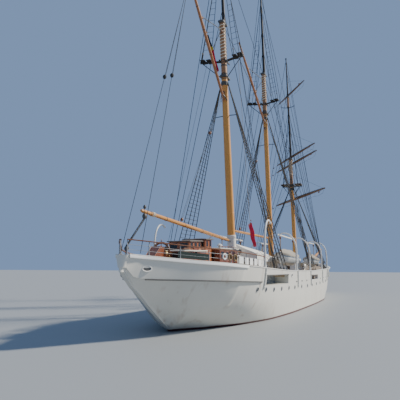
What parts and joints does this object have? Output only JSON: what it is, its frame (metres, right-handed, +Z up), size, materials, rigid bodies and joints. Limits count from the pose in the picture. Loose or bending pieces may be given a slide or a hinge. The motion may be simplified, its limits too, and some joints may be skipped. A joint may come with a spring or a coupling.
{
  "type": "three-masted barquentine, scale model at 1:2",
  "caption": "Steel sailing ship with counter stern, raked masts, gaffs and booms, braced yards, davits with boats, rudder and propeller, afloat with no sails bent.",
  "frame": {"origin": "on the waterline, on the centreline, midway along the hull", "axes": "+X towards the bow, +Y to port, +Z up"},
  "size_m": [38.7608, 5.7864, 23.8041],
  "materials": {
    "hull_paint": "semi-gloss paint",
    "white_paint": "gloss paint",
    "teak": "oiled",
    "mahogany": "varnished",
    "mast_buff": "gloss paint",
    "topmast_black": "gloss paint",
    "yard_brown": "varnished",
    "rigging_wire": "tarred",
    "windlass_iron": "painted",
    "propeller_bronze": "cast",
    "underwater_paint": "matt paint",
    "boat_canvas": "woven",
    "flag_cloth": "woven"
  },
  "bodies": {
    "ship": {"hull": "hull_paint", "poop_sides": "hull_paint", "poop_deck": "teak", "poop_bulwark": "hull_paint", "forecastle_bulwark": "hull_paint", "bulwark_port_aft": "hull_paint", "bulwark_port_middle": "hull_paint", "bulwark_port_fore": "hull_paint", "bulwark_starboard": "hull_paint", "poop_rail_port": "teak", "poop_rail_starboard": "teak", "after_house": "mahogany", "chart_house": "mahogany", "midship_house": "white_paint", "fore_house": "white_paint", "steering_gear_box": "mahogany", "main_hatch": "teak", "windlass": "windlass_iron", "bowsprit": "white_paint", "mizzen_lower_mast": "mast_buff", "mizzen_topmast": "topmast_black", "main_lower_mast": "mast_buff", "main_topmast": "topmast_black", "fore_lower_mast": "mast_buff", "fore_topmast": "topmast_black", "mizzen_mast_base": "white_paint", "mizzen_shrouds_port": "rigging_wire", "mizzen_shrouds_starboard": "rigging_wire", "main_shrouds_port": "rigging_wire", "main_shrouds_starboard": "rigging_wire", "fore_shrouds_port": "rigging_wire", "fore_shrouds_starboard": "rigging_wire", "fore_stay": "rigging_wire", "jib_stay": "rigging_wire", "flying_jib_stay": "rigging_wire", "main_stay": "rigging_wire", "quarter_davit_port": "white_paint", "main_davits_port": "white_paint", "main_boat_port": "boat_canvas", "fore_davits_port": "white_paint", "fore_boat_port": "boat_canvas", "quarter_davit_starboard": "white_paint", "main_davits_starboard": "white_paint", "main_boat_starboard": "boat_canvas", "fore_davits_starboard": "white_paint", "fore_boat_starboard": "boat_canvas", "awning": "boat_canvas"},
    "rudder_blade": {"rudder": "underwater_paint"},
    "wheel": {"steering_wheel": "mahogany"},
    "screw": {"propeller": "propeller_bronze"},
    "spanker_boom_body": {"spanker_boom": "mast_buff"},
    "main_boom_body": {"main_boom": "mast_buff"},
    "mizzen_gaff_body": {"mizzen_gaff": "mast_buff", "ensign": "flag_cloth"},
    "main_gaff_body": {"main_gaff": "mast_buff"},
    "fore_yard_body": {"fore_yard": "yard_brown"},
    "lower_topsail_yard_body": {"lower_topsail_yard": "yard_brown"},
    "upper_topsail_yard_body": {"upper_topsail_yard": "yard_brown"},
    "topgallant_yard_body": {"topgallant_yard": "yard_brown"}
  },
  "joints": [
    {"name": "rudder_turn", "type": "hinge", "parent": "ship", "child": "rudder_blade", "pos_m": [-13.1, 0, -1.2], "axis": [0, 0, 1], "range_deg": [-35, 35]},
    {"name": "wheel_turn", "type": "hinge", "parent": "ship", "child": "wheel", "pos_m": [-14.3, 0, 2.725], "axis": [1, 0, 0], "range_deg": [-180, 180]},
    {"name": "screw_turn", "type": "hinge", "parent": "ship", "child": "screw", "pos_m": [-12.7, 0, -1.45], "axis": [1, 0, 0], "continuous": true},
    {"name": "spanker_boom_swing", "type": "hinge", "parent": "ship", "child": "spanker_boom_body", "pos_m": [-7.20775, 0, 3.525], "axis": [-0.1093, 0, 0.994], "range_deg": [-35, 35]},
    {"name": "mizzen_gaff_swing", "type": "hinge", "parent": "ship", "child": "mizzen_gaff_body", "pos_m": [-7.9695, 0, 10.45], "axis": [-0.1093, 0, 0.994], "range_deg": [-35, 35]},
    {"name": "main_boom_swing", "type": "hinge", "parent": "ship", "child": "main_boom_body", "pos_m": [0.283, 0, 4.15], "axis": [-0.0916, 0, 0.9958], "range_deg": [-15, 15]},
    {"name": "main_gaff_swing", "type": "hinge", "parent": "ship", "child": "main_gaff_body", "pos_m": [-0.4093, 0, 11.675], "axis": [-0.0916, 0, 0.9958], "range_deg": [-35, 35]},
    {"name": "fore_yard_brace", "type": "hinge", "parent": "ship", "child": "fore_yard_body", "pos_m": [7.46588, 0, 7.94], "axis": [0, 0, 1], "range_deg": [0, 108]},
    {"name": "lower_topsail_yard_brace", "type": "hinge", "parent": "ship", "child": "lower_topsail_yard_body", "pos_m": [7.40727, 0, 10.885], "axis": [0, 0, 1], "range_deg": [0, 108]},
    {"name": "upper_topsail_yard_brace", "type": "hinge", "parent": "ship", "child": "upper_topsail_yard_body", "pos_m": [7.34749, 0, 11.495], "axis": [0, 0, 1], "range_deg": [0, 108]},
    {"name": "topgallant_yard_brace", "type": "hinge", "parent": "ship", "child": "topgallant_yard_body", "pos_m": [6.83495, 0, 16.725], "axis": [0, 0, 1], "range_deg": [0, 108]}
  ],
  "couplings": [
    {"joint": "wheel_turn", "follows": "rudder_turn", "ratio": 5}
  ]
}
